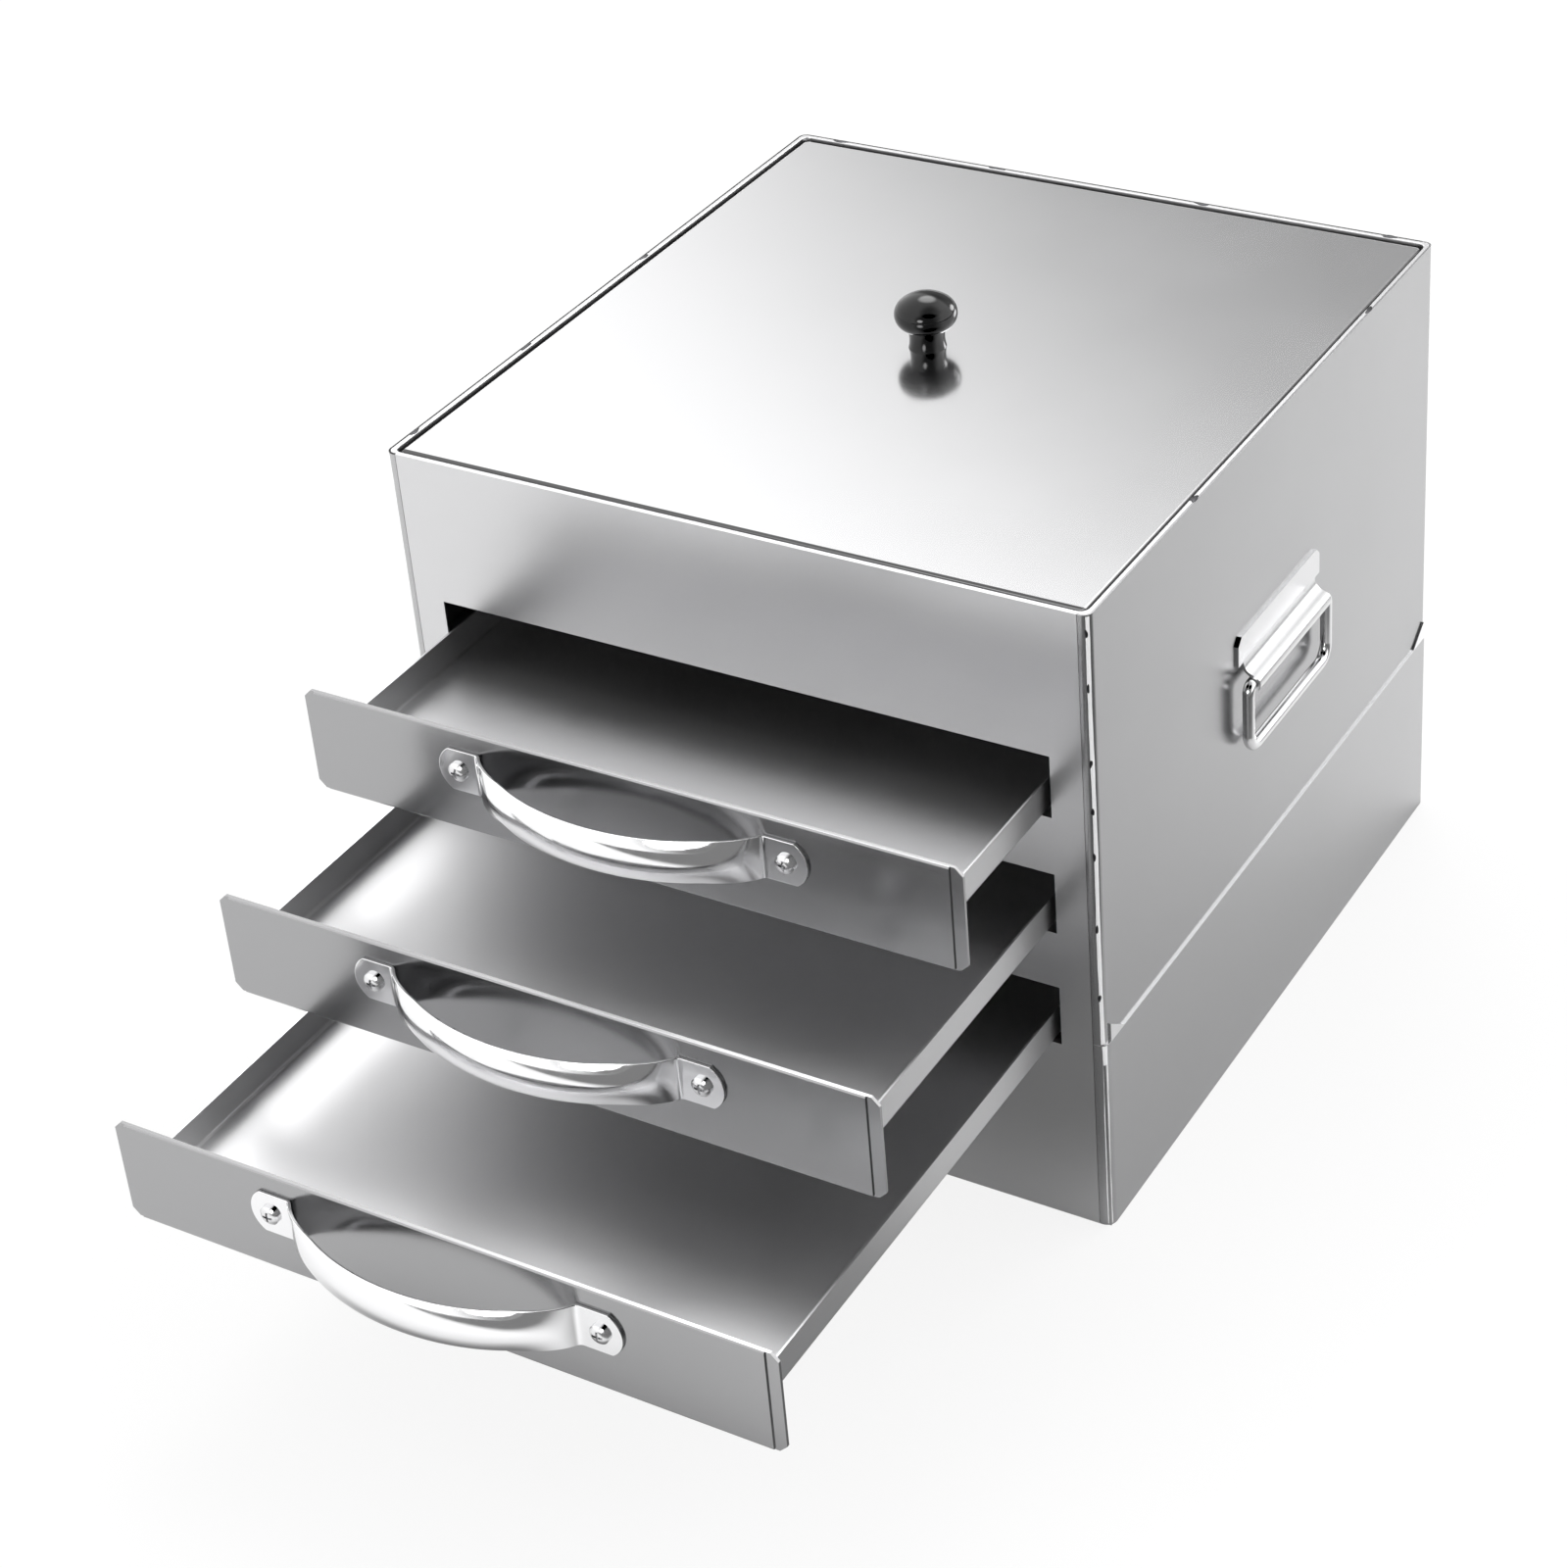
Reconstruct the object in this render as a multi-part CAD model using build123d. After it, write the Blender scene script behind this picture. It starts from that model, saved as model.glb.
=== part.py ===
from build123d import *
import os
from math import asin, cos, radians, sin, sqrt

# Stove-top steamer for rice noodle rolls: a folded sheet-steel casing with a built-in
# water tank, three shallow trays that slide out of its front, a drop-in lid with a
# black knob, and a folding bail handle on each side. Millimetres, +Z up. The origin
# is the middle of the base, the drawers pull along -Y, and the trays stand part-way out.

# ---------------------------------------------------------------- driving dimensions
# casing
casing_width = 300.0        # over the water tank, X
casing_depth = 316.0        # over the front panel and the tank's back wall, Y
sheet = 0.8                 # casing, tank, lid and tray sheet
corner_radius = 3.5         # outside radius of the upright corners of the upper casing
corner_return = 1.0         # flat of a side sheet past its bend
butt_gap = 0.2              # open joint between a side sheet and the front or back panel

# water tank
seam_height = 87.5          # top edge of the tank's walls, lapped over the upper casing
seam_lap = 8.0
lap_setback = 8.0           # the lap stops this short of the front and back corners
tank_front_step = 9.5       # the tank's front wall, behind the front panel, is this much lower
ear_length = 11.0           # raised tabs at the ends of the tank's side walls
ear_height = 8.0
ear_setback = 4.5           # from the outside corner to the ear's upright edge

# rim and lid
rim_fold = 1.6              # sheet folded in behind the casing's top edge
rim_drop = 12.0             # height of that fold
seat_width = 10.0           # ledge that carries the lid
seat_sheet = 1.0
seat_flange = 8.0           # the ledge's leg on the wall
lid_gap = 1.0               # round the lid, to the rim
lid_recess = 1.0            # lid below the rim
lid_seat_gap = 0.3          # under the lid's skirt
lid_corner = 2.5
lid_edge = 1.5              # rounding of the lid's upper edge

# lid knob
knob_head_width = 25.2
knob_head_height = 16.8
knob_height = 22.8
knob_side_radius = 6.2      # of the head's side, in section
knob_neck_width = 15.2
knob_waist = 0.5            # depth of the hollow round the neck
knob_bore_gap = 0.2         # round the screw
knob_bore_spare = 3.8       # bore past the screw's tip
knob_screw_width = 4.0
knob_screw_reach = 8.2      # into the knob
knob_screw_head = 7.6
knob_screw_head_height = 2.6
knob_washer_width = 14.0
knob_washer_thickness = 1.0

# drawer slots in the front panel
slot_sill_drop = 4.5        # lower edge of the lowest slot below the tank's seam
slot_side_gap = 2.5         # beside the tray
slot_head_room = 12.0       # above the tray's rim
slot_lip = 3.0              # lower edge folded inwards
top_room = 62.5             # casing above the highest slot

# drawers: how far each one is pulled out of the casing in the rest pose
drawer_out = {"top": 77.0, "middle": 141.0, "bottom": 214.5}
closed_gap = 0.3            # front plate to casing, shut

# drawer front plates
front_overlap = 7.5         # past the slot at each end
front_rise = 4.5            # above the slot's upper edge
front_fall = 12.5           # below the slot's lower edge
front_spacing = 8.0         # between one plate and the next
front_thickness = 2.0       # at the hems
front_skin = 1.1            # inside the hems
front_hem = 5.0             # upper and lower hem
front_corner = 3.0          # cut corners
front_margin = 5.0          # set-back strip at each end
front_margin_step = 0.7
front_edge = 0.7            # rounding of the long folded edges

# trays
tray_side_room = 21.0       # from the tray to the outside of the casing
tray_back_room = 14.7       # behind the tray when it is shut
tray_height = 13.5
tray_lift = 1.0             # above the slot's lower edge
tray_corner = 4.0
tray_foot = 2.0             # rounding between the tray's floor and walls
upstand_gap = 1.0           # tray's tall front wall below the plate's upper hem

# runners
runner_sheet = 1.0
runner_overlap = 7.6        # under the tray's edge
runner_leg = 14.0
runner_setback = 3.0        # from the front and back panels
tray_clearance = 0.3        # tray above its runners

# drawer handles: a strap of pressed sheet, flat at its pads and crowned along its bow
handle_sheet = 1.2
handle_height = 18.0
handle_drop = 16.5          # handle's middle below the plate's upper edge
handle_span = 121.0         # between the two bends
handle_bow = 25.4           # outside of the bow in front of the plate
bow_overhang = 5.5          # the bow's ellipse is this much longer than its half span
bow_crown = 2.6             # pressed crown of the strap
bow_blend = 20.0            # length over which the crown fades at a pad
flat_crown = 0.05           # crown left at the pads
bow_stations = (-1.0, -0.93, -0.84, -0.72, -0.5, -0.25, 0.0, 0.25)  # sections, pad to just past the middle
pad_length = 18.0
pad_round = 5.0             # how far the pad's rounded end bulges
screw_width = 4.0
screw_head = 7.8
screw_head_height = 2.4
screw_hole_gap = 0.15       # round a screw
recess_width = 0.9          # cross recess
recess_length = 4.2
recess_depth = 1.3
screw_tip = 1.0             # past the nut
nut_width = 7.0
nut_height = 3.2
thread_gap = 0.05           # between screw and nut

# side handles: a bracket whose lower edge is rolled over a loop of rod
bracket_width = 77.0
bracket_drop = 78.4         # bracket's upper edge below the casing's
bracket_sheet = 1.2
bracket_corner = 3.0        # cut upper corners
barrel_inset = 4.5          # roll's ends from the bracket's
barrel_drop = 20.8          # hinge axis below the bracket's upper edge
barrel_gap = 0.9            # between the roll and the side panel
barrel_wrap = 132.0         # degrees that the roll goes on past its top
bend_radius = 5.3           # inside radius where the bracket sweeps outwards to its roll
rod_width = 4.8
rod_clearance = 0.1         # in the roll
bail_side_gap = 0.9         # between the roll's ends and the legs
bail_drop = 28.8            # hinge axis to the lower bar
bail_shoulder = 3.2         # centre-line radius at the barrel's ends
bail_corner = 7.0           # centre-line radius at the lower corners

# ---------------------------------------------------------------- places worked out
half_width = casing_width / 2
half_depth = casing_depth / 2
slot_height = tray_lift + tray_height + slot_head_room
front_height = front_rise + slot_height + front_fall
slot_pitch = front_height + front_spacing
slot_top = seam_height - slot_sill_drop + 2 * slot_pitch + slot_height
casing_height = slot_top + top_room
tank_front_height = seam_height - tank_front_step
side_face = half_width - sheet                  # outside of the upper side panels
back_face = half_depth - sheet                  # outside of the upper back panel
front_inside = -half_depth + sheet
side_inside = side_face - sheet
back_inside = back_face - sheet
corner_inside = corner_radius - sheet
panel_end = side_face - corner_radius - corner_return
tray_width = casing_width - 2 * tray_side_room
tray_length = back_inside - tray_back_room + half_depth + closed_gap
slot_width = tray_width + 2 * slot_side_gap
front_width = slot_width + 2 * front_overlap
runner_shelf = side_inside - tray_width / 2 + runner_overlap
lid_top = casing_height - lid_recess
seat_top = casing_height - rim_drop
lid_half_width = side_inside - rim_fold - lid_gap
lid_front = front_inside + rim_fold + lid_gap
lid_back = back_inside - rim_fold - lid_gap
knob_bore = knob_screw_width + 2 * knob_bore_gap
bow_long_axis = handle_span / 2 + bow_overhang
screw_pitch = handle_span + pad_length
screw_hole = screw_width + 2 * screw_hole_gap
roll_inside = rod_width / 2 + rod_clearance
axis_out = side_face + barrel_gap + bracket_sheet + roll_inside
bracket_top = casing_height - bracket_drop
barrel_height = bracket_top - barrel_drop
barrel_length = bracket_width - 2 * barrel_inset
bail_width = barrel_length + rod_width + 2 * bail_side_gap      # between the legs' centre lines
nut_face = front_skin + sheet                   # inside of the tray's front wall, behind the plate's face


def block(x0, x1, y0, y1, z0, z1):
    """A box given by its six faces."""
    box = Box(x1 - x0, y1 - y0, z1 - z0)
    return Pos((x0 + x1) / 2, (y0 + y1) / 2, (z0 + z1) / 2) * box


def round_prism(x0, x1, y0, y1, z0, z1, radius):
    """An upright prism with rounded corners."""
    outline = RectangleRounded(x1 - x0, y1 - y0, radius)
    return Pos((x0 + x1) / 2, (y0 + y1) / 2, z0) * extrude(outline, z1 - z0)


def both_sides(shape):
    """The piece on the +X side and its mirror image on the -X side."""
    return {"right": shape, "left": mirror(shape, Plane.YZ)}


def drawer_levels():
    """Each drawer's name with the height of its slot's upper edge."""
    return {name: slot_top - slot_pitch * i for i, name in enumerate(drawer_out)}


def front_face(name):
    """Y of a drawer plate's front face in the rest pose."""
    return -half_depth - closed_gap - front_thickness - drawer_out[name]


def tray_floor_height(level):
    """Underside of the tray that goes through the slot with this upper edge."""
    return level - slot_height + tray_lift


# ---------------------------------------------------------------- casing
def make_front_panel():
    """Flat front with three slots, each with its lower edge folded inwards."""
    panel = block(-panel_end + butt_gap, panel_end - butt_gap, -half_depth, front_inside, 0, casing_height)
    for level in drawer_levels().values():
        sill = level - slot_height
        half = slot_width / 2
        panel -= block(-half, half, -half_depth - sheet, front_inside + sheet, sill, level)
        panel += block(-half, half, front_inside, front_inside + slot_lip, sill - sheet, sill)
    return panel


def make_side_panel():
    """Right side sheet with rounded front and back corners and a tongue inside the tank."""
    outer = round_prism(-side_face, side_face, -half_depth, back_face, seam_height, casing_height,
                        corner_radius)
    inner = round_prism(-side_inside, side_inside, front_inside, back_inside, seam_height,
                        casing_height, corner_inside)
    keep = block(panel_end, casing_width, -casing_depth, casing_depth, 0, 2 * casing_height)
    tongue = block(side_inside, side_face, -half_depth + lap_setback, half_depth - lap_setback,
                   seam_height - seam_lap, seam_height)
    return (outer - inner) & keep, tongue


def make_back_panel():
    """Flat back between the side sheets, reaching down inside the tank's back wall."""
    reach = panel_end - butt_gap
    return block(-reach, reach, back_inside, back_face, seam_height - seam_lap, casing_height)


def make_water_tank():
    """Folded pan with rounded upright corners, its front wall set behind the front panel."""
    outer = round_prism(-half_width, half_width, -half_depth, half_depth, 0, seam_height,
                        corner_radius + sheet)
    inner = round_prism(-side_face, side_face, front_inside, back_face, sheet, seam_height,
                        corner_radius)
    pan = outer - inner
    pan -= block(-panel_end, panel_end, -half_depth, front_inside, 0, seam_height)
    pan += block(-side_face, side_face, front_inside, front_inside + sheet, 0, tank_front_height)
    ear_end = half_depth - ear_setback
    for side in (-1, 1):
        for end in (-1, 1):
            ear = Plane.YZ * make_face(Polyline(
                (end * ear_end, seam_height),
                (end * ear_end, seam_height + ear_height),
                (end * (ear_end - ear_length), seam_height),
                close=True))
            middle = side * (half_width + side_face) / 2
            pan += Pos(middle, 0, 0) * extrude(ear, sheet / 2, both=True)
    return pan


def make_rim_fold():
    """Sheet folded in behind the casing's upper edge."""
    outer = round_prism(-side_inside, side_inside, front_inside, back_inside, seat_top,
                        casing_height, corner_inside)
    inner = round_prism(-side_inside + rim_fold, side_inside - rim_fold, front_inside + rim_fold,
                        back_inside - rim_fold, seat_top, casing_height, lid_corner + lid_gap)
    ring = outer - inner
    inside_edges = ring.faces().sort_by(Axis.Z)[-1].inner_wires()[0].edges()
    return fillet(inside_edges, rim_fold / 4)


def make_lid_seat():
    """Angle ledge round the inside of the casing, just under the rim fold."""
    low = seat_top - seat_sheet - seat_flange
    outer = round_prism(-side_inside, side_inside, front_inside, back_inside, low, seat_top,
                        corner_inside)
    leg = round_prism(-side_inside + seat_sheet, side_inside - seat_sheet, front_inside + seat_sheet,
                      back_inside - seat_sheet, low, seat_top - seat_sheet, corner_inside)
    hole = round_prism(-side_inside + seat_width, side_inside - seat_width, front_inside + seat_width,
                       back_inside - seat_width, low, seat_top, seat_width / 2)
    return outer - leg - hole


def make_runner(level):
    """Right-hand angle runner: a leg on the side panel and a shelf under the tray's edge."""
    shelf_top = tray_floor_height(level) - tray_clearance
    front = front_inside + slot_lip + runner_setback
    back = back_inside - runner_setback
    shelf = block(side_inside - runner_shelf, side_inside, front, back, shelf_top - runner_sheet, shelf_top)
    leg = block(side_inside - runner_sheet, side_inside, front, back, shelf_top, shelf_top + runner_leg)
    outer_corner = (side_inside, 0, shelf_top - runner_sheet)
    edge = (shelf + leg).edges().filter_by(Axis.Y).sort_by_distance(outer_corner)[0]
    return fillet(edge, runner_sheet)


# ---------------------------------------------------------------- lid
def make_lid_panel():
    """Shallow lid, turned down all round, with a hole for the knob's screw."""
    skirt_foot = seat_top + lid_seat_gap
    body = round_prism(-lid_half_width, lid_half_width, lid_front, lid_back, skirt_foot, lid_top, lid_corner)
    body = fillet(body.faces().sort_by(Axis.Z)[-1].edges(), lid_edge)
    hollow = round_prism(-lid_half_width + sheet, lid_half_width - sheet, lid_front + sheet,
                         lid_back - sheet, skirt_foot, lid_top - sheet, lid_corner - sheet)
    hollow = fillet(hollow.faces().sort_by(Axis.Z)[-1].edges(), lid_edge - sheet)
    return body - hollow - Pos(0, 0, lid_top) * Cylinder(knob_bore / 2, 4 * sheet)


def make_lid_knob():
    """Turned knob: an oblate head on a waisted neck, bored from below for its screw.

    The head's section is an oval of three arcs that meet smoothly: a flat arc below and
    a flat arc on top, both centred on the axis, and a tight arc round the side."""
    half_head = knob_head_width / 2
    half_neck = knob_neck_width / 2
    half_bore = knob_bore / 2
    half_high = knob_head_height / 2
    bore_depth = knob_screw_reach + knob_bore_spare
    middle = knob_height - half_high
    side_centre = half_head - knob_side_radius
    spare = half_high - knob_side_radius
    flat_radius = (side_centre ** 2 / spare + half_high + knob_side_radius) / 2
    side_turn = asin(side_centre / (flat_radius - knob_side_radius))
    neck_turn = asin(half_neck / flat_radius)

    def flat_point(turn, way):
        """Point on the upper or lower flat arc, at an angle from the axis."""
        return flat_radius * sin(turn), middle + way * (flat_radius * (cos(turn) - 1) + half_high)

    neck_top = flat_point(neck_turn, -1)
    side_low = flat_point(side_turn, -1)
    side_high = flat_point(side_turn, 1)
    neck = ThreePointArc((half_neck, 0), (half_neck - knob_waist, neck_top[1] / 2), neck_top)
    under = ThreePointArc(neck_top, flat_point((neck_turn + side_turn) / 2, -1), side_low)
    side = ThreePointArc(side_low, (half_head, middle), side_high)
    top = ThreePointArc(side_high, flat_point(side_turn / 2, 1), (0, knob_height))
    bore = Polyline((0, knob_height), (0, bore_depth), (half_bore, bore_depth), (half_bore, 0),
                    (half_neck, 0))
    section = make_face(neck + under + side + top + bore)
    return Pos(0, 0, lid_top) * revolve(Plane.XZ * section, Axis.Z)


def make_knob_washer():
    """Flat washer under the lid."""
    ring = Cylinder(knob_washer_width / 2, knob_washer_thickness)
    ring -= Cylinder(knob_bore / 2, knob_washer_thickness)
    return Pos(0, 0, lid_top - sheet - knob_washer_thickness / 2) * ring


def pan_head(width, height):
    """Head of a cross-recessed screw, its seat at z = 0 and its crown upwards."""
    flat = height * 0.45
    side = Line((0, 0), (width / 2, 0)) + Line((width / 2, 0), (width / 2, flat))
    crown = ThreePointArc((width / 2, flat), (width * 0.30, height * 0.88), (0, height))
    head = revolve(Plane.XZ * make_face(side + crown + Line((0, height), (0, 0))), Axis.Z)
    for turn in (0, 90):
        slot = Rot(0, 0, turn) * Box(recess_length, recess_width, 2 * recess_depth)
        head -= Pos(0, 0, height) * slot
    return head


def make_knob_screw():
    """Screw from under the lid up into the knob."""
    length = knob_washer_thickness + sheet + knob_screw_reach
    shank = Pos(0, 0, -length / 2) * Cylinder(knob_screw_width / 2, length)
    screw = Rot(180, 0, 0) * (pan_head(knob_screw_head, knob_screw_head_height) + shank)
    return Pos(0, 0, lid_top - sheet - knob_washer_thickness) * screw


# ---------------------------------------------------------------- drawers
def front_outline(width, height, cut):
    """Rectangle with its four corners cut at 45 degrees."""
    return chamfer(Rectangle(width, height).vertices(), cut)


def make_drawer_front(name, level):
    """Folded plate: hemmed along its long edges, with a set-back strip at each end."""
    face = front_face(name)
    middle = level + front_rise - front_height / 2
    outline = Plane.XZ * front_outline(front_width, front_height, front_corner)
    plate = extrude(outline, -front_thickness)
    long_edges = plate.faces().sort_by(Axis.Y)[0].edges().filter_by(Axis.X)
    plate = fillet(long_edges, front_edge)
    for side in (-1, 1):
        strip = Box(2 * front_margin, 2 * front_margin_step, front_height)
        plate -= Pos(side * front_width / 2, 0, 0) * strip
    pocket = Box(tray_width, 2 * (front_thickness - front_skin), front_height - 2 * front_hem)
    plate -= Pos(0, front_thickness, 0) * pocket
    for side in (-1, 1):
        hole = Rot(90, 0, 0) * Cylinder(screw_hole / 2, 4 * front_thickness)
        plate -= Pos(side * screw_pitch / 2, 0, front_height / 2 - handle_drop) * hole
    return Pos(0, face, middle) * plate


def make_tray(name, level):
    """Shallow open pan whose front wall stands taller, against the back of its plate."""
    face = front_face(name)
    half = tray_width / 2
    start = face + front_skin
    end = face + front_thickness + tray_length
    floor = tray_floor_height(level)
    rim = floor + tray_height
    outer = round_prism(-half, half, start, end, floor, rim, tray_corner)
    outer = fillet(outer.faces().sort_by(Axis.Z)[0].edges(), tray_foot)
    inner = round_prism(-half + sheet, half - sheet, start + sheet, end - sheet, floor + sheet, rim,
                        tray_corner - sheet)
    inner = fillet(inner.faces().sort_by(Axis.Z)[0].edges(), tray_foot - sheet)
    upstand = block(-half + tray_corner, half - tray_corner, start, start + sheet,
                    rim - tray_height / 2, level + front_rise - front_hem - upstand_gap)
    tray = outer - inner + upstand
    screw_height = level + front_rise - handle_drop
    for side in (-1, 1):
        hole = Rot(90, 0, 0) * Cylinder(screw_hole / 2, 4 * sheet)
        tray -= Pos(side * screw_pitch / 2, start, screw_height) * hole
    return tray


def bow_point(angle):
    """Point on the bow's outside, and its outward direction, in the handle's X and depth.

    The bow is part of an ellipse with half axes a and b, sunk so that it starts at the
    pads: (a sin t, b cos t - b cos t0), where t0 is the angle at a pad's bend."""
    start = sqrt(1 - (handle_span / 2 / bow_long_axis) ** 2)
    depth = handle_bow - handle_sheet
    short_axis = depth / (1 - start)
    x = bow_long_axis * sin(angle)
    out = short_axis * (cos(angle) - start) + handle_sheet
    normal = Vector(sin(angle) / bow_long_axis, -cos(angle) / short_axis, 0).normalized()
    return x, -out, normal


def strap_section(angle):
    """Crowned section of the strap: its outer arc, its inner arc and its two edges."""
    x, y, normal = bow_point(angle)
    from_pad = handle_span / 2 - abs(x)
    fade = min(1.0, from_pad / bow_blend)
    crown = flat_crown + bow_crown * fade * fade * (3 - 2 * fade)
    half = handle_height / 2
    plane = Plane(origin=(x, y, 0), x_dir=normal, z_dir=normal.cross(Vector(0, 0, 1)))
    outer = ThreePointArc((-crown, -half), (0, 0), (-crown, half))
    inner = ThreePointArc((-crown - handle_sheet, half), (-handle_sheet, 0), (-crown - handle_sheet, -half))
    edges = outer + Line(outer @ 1, inner @ 0) + inner + Line(inner @ 1, outer @ 0)
    return plane * make_face(edges)


def make_handle(name, level):
    """Strap handle: two flat pads with rounded ends, and the crowned bow between them."""
    limit = asin(handle_span / 2 / bow_long_axis)
    half_bow = loft([strap_section(limit * station) for station in bow_stations])
    half_bow &= block(-handle_span, 0, -2 * handle_bow, 2 * handle_bow, -handle_height, handle_height)
    half = handle_height / 2
    near = handle_span / 2 - handle_sheet
    far = handle_span / 2 + pad_length
    square_end = far - pad_round
    outline = make_face(
        Polyline((-square_end, half), (-near, half), (-near, -half), (-square_end, -half))
        + ThreePointArc((-square_end, -half), (-far, 0), (-square_end, half)))
    hole = Rot(90, 0, 0) * Cylinder(screw_hole / 2, 4 * handle_sheet)
    pad = extrude(Plane.XZ * outline, handle_sheet) - Pos(-screw_pitch / 2, 0, 0) * hole
    half_handle = half_bow + pad
    handle = half_handle + mirror(half_handle, Plane.YZ)
    return Pos(0, front_face(name), level + front_rise - handle_drop) * handle


def screw_places(name, level):
    """Where a drawer's two handle screws go through the face of its plate."""
    height = level + front_rise - handle_drop
    return [Pos(side * screw_pitch / 2, front_face(name), height) for side in (-1, 1)]


def make_handle_screws(name, level):
    """Two pan-head screws through pad, plate and tray wall."""
    length = handle_sheet + nut_face + nut_height + screw_tip
    shank = Pos(0, 0, -length / 2) * Cylinder(screw_width / 2, length)
    screw = Pos(0, -handle_sheet, 0) * Rot(90, 0, 0) * (pan_head(screw_head, screw_head_height) + shank)
    return [place * screw for place in screw_places(name, level)]


def make_handle_nuts(name, level):
    """Two hexagon nuts on the inside of the tray's front wall."""
    hexagon = RegularPolygon(nut_width / 2, 6, major_radius=False)
    nut = extrude(hexagon, nut_height) - Cylinder(screw_width / 2 + thread_gap, 4 * nut_height)
    return [place * Pos(0, nut_face, 0) * Rot(-90, 0, 0) * nut for place in screw_places(name, level)]


# ---------------------------------------------------------------- side handles
def make_handle_bracket():
    """Right bracket: a flat plate that sweeps outwards and rolls over the bail's upper bar.

    Its section is one line, thickened: down the plate, then an arc outwards, and from where
    that arc touches the roll's circle round the bar, to an angle past the top."""
    roll_middle = roll_inside + bracket_sheet / 2
    plate_middle = side_face + bracket_sheet / 2
    turn = bend_radius + bracket_sheet / 2
    centre_gap = turn + roll_middle
    centre_side = plate_middle + turn - axis_out
    centre_rise = sqrt(centre_gap ** 2 - centre_side ** 2)
    bend_height = barrel_height + centre_rise
    touch_turn = asin(centre_side / centre_gap)
    end_turn = radians(barrel_wrap)

    def bend_point(turned):
        """Point on the outward arc, after turning by an angle from straight down."""
        return plate_middle + turn * (1 - cos(turned)), bend_height - turn * sin(turned)

    def roll_point(turned):
        """Point on the roll's middle line, at an angle past its top."""
        return axis_out + roll_middle * sin(turned), barrel_height + roll_middle * cos(turned)

    touch = roll_point(touch_turn)
    plate_line = Line((plate_middle, bracket_top), bend_point(0))
    bend_line = ThreePointArc(bend_point(0), bend_point(radians(90) / 2), touch)
    roll_line = ThreePointArc(touch, roll_point((touch_turn + end_turn) / 2), roll_point(end_turn))
    plate = extrude(Plane.XZ * trace([plate_line], bracket_sheet), bracket_width / 2, both=True)
    top_corners = plate.edges().filter_by(Axis.X).group_by(Axis.Z)[-1]
    plate = chamfer(top_corners, bracket_corner)
    roll = extrude(Plane.XZ * trace([bend_line, roll_line], bracket_sheet), barrel_length / 2, both=True)
    return plate + roll


def make_bail():
    """Right bail: a closed loop of round rod that hangs from the bracket's roll."""
    half = bail_width / 2
    outline = make_face(Polyline((-half, 0), (half, 0), (half, -bail_drop), (-half, -bail_drop), close=True))
    outline = fillet(outline.vertices().group_by(Axis.Y)[-1], bail_shoulder)
    lower = [v for v in outline.vertices() if v.Y < -bail_drop / 2]
    outline = fillet(lower, bail_corner)
    path = (Pos(axis_out, 0, barrel_height) * (Plane.YZ * outline)).face().outer_wire()
    start = path.edges().sort_by(Axis.Z)[0]
    rod = Plane(origin=start @ 0, z_dir=start % 0) * Circle(rod_width / 2)
    return sweep(rod, path)


# ---------------------------------------------------------------- every node
def make_parts():
    """All nodes by name."""
    parts = {
        "front_panel": make_front_panel(),
        "back_panel": make_back_panel(),
        "water_tank": make_water_tank(),
        "rim_fold": make_rim_fold(),
        "lid_seat": make_lid_seat(),
        "lid_panel": make_lid_panel(),
        "lid_knob": make_lid_knob(),
        "knob_washer": make_knob_washer(),
        "knob_screw": make_knob_screw(),
    }
    wall, tongue = make_side_panel()
    for side, shape in both_sides(wall + tongue).items():
        parts[f"{side}_side_panel"] = shape
    for side, shape in both_sides(make_handle_bracket()).items():
        parts[f"{side}_handle_bracket"] = shape
    for side, shape in both_sides(make_bail()).items():
        parts[f"{side}_bail"] = shape
    for name, level in drawer_levels().items():
        for side, shape in both_sides(make_runner(level)).items():
            parts[f"{name}_{side}_runner"] = shape
        parts[f"{name}_tray"] = make_tray(name, level)
        parts[f"{name}_drawer_front"] = make_drawer_front(name, level)
        parts[f"{name}_handle"] = make_handle(name, level)
        parts[f"{name}_handle_screws"] = Compound(children=make_handle_screws(name, level))
        parts[f"{name}_handle_nuts"] = Compound(children=make_handle_nuts(name, level))
    return parts


os.makedirs("parts", exist_ok=True)
for node, shape in make_parts().items():
    export_step(shape, f"parts/{node}.step")
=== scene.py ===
import bmesh
import bpy
import numpy as np
from math import radians
from mathutils import Matrix, Vector


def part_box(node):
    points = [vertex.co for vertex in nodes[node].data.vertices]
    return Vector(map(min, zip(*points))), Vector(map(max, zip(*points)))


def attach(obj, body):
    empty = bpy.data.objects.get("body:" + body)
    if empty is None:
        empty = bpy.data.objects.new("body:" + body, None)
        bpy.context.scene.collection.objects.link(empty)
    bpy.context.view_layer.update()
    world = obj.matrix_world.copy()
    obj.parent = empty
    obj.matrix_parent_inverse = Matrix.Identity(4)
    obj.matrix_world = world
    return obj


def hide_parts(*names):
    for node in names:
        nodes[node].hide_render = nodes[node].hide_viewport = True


# Looks of the drawer steamer: every CAD node keeps its shape and gets the finish of the
# real piece, and small surface details that sheet-metal work leaves are added here.
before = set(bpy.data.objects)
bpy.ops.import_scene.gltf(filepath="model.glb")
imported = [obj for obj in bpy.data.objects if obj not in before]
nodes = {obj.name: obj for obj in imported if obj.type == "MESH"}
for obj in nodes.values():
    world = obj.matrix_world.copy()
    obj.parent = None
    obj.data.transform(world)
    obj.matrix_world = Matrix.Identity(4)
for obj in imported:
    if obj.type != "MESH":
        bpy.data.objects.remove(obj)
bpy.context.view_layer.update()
drawers = ("top", "middle", "bottom")
sides = ("left", "right")

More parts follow.
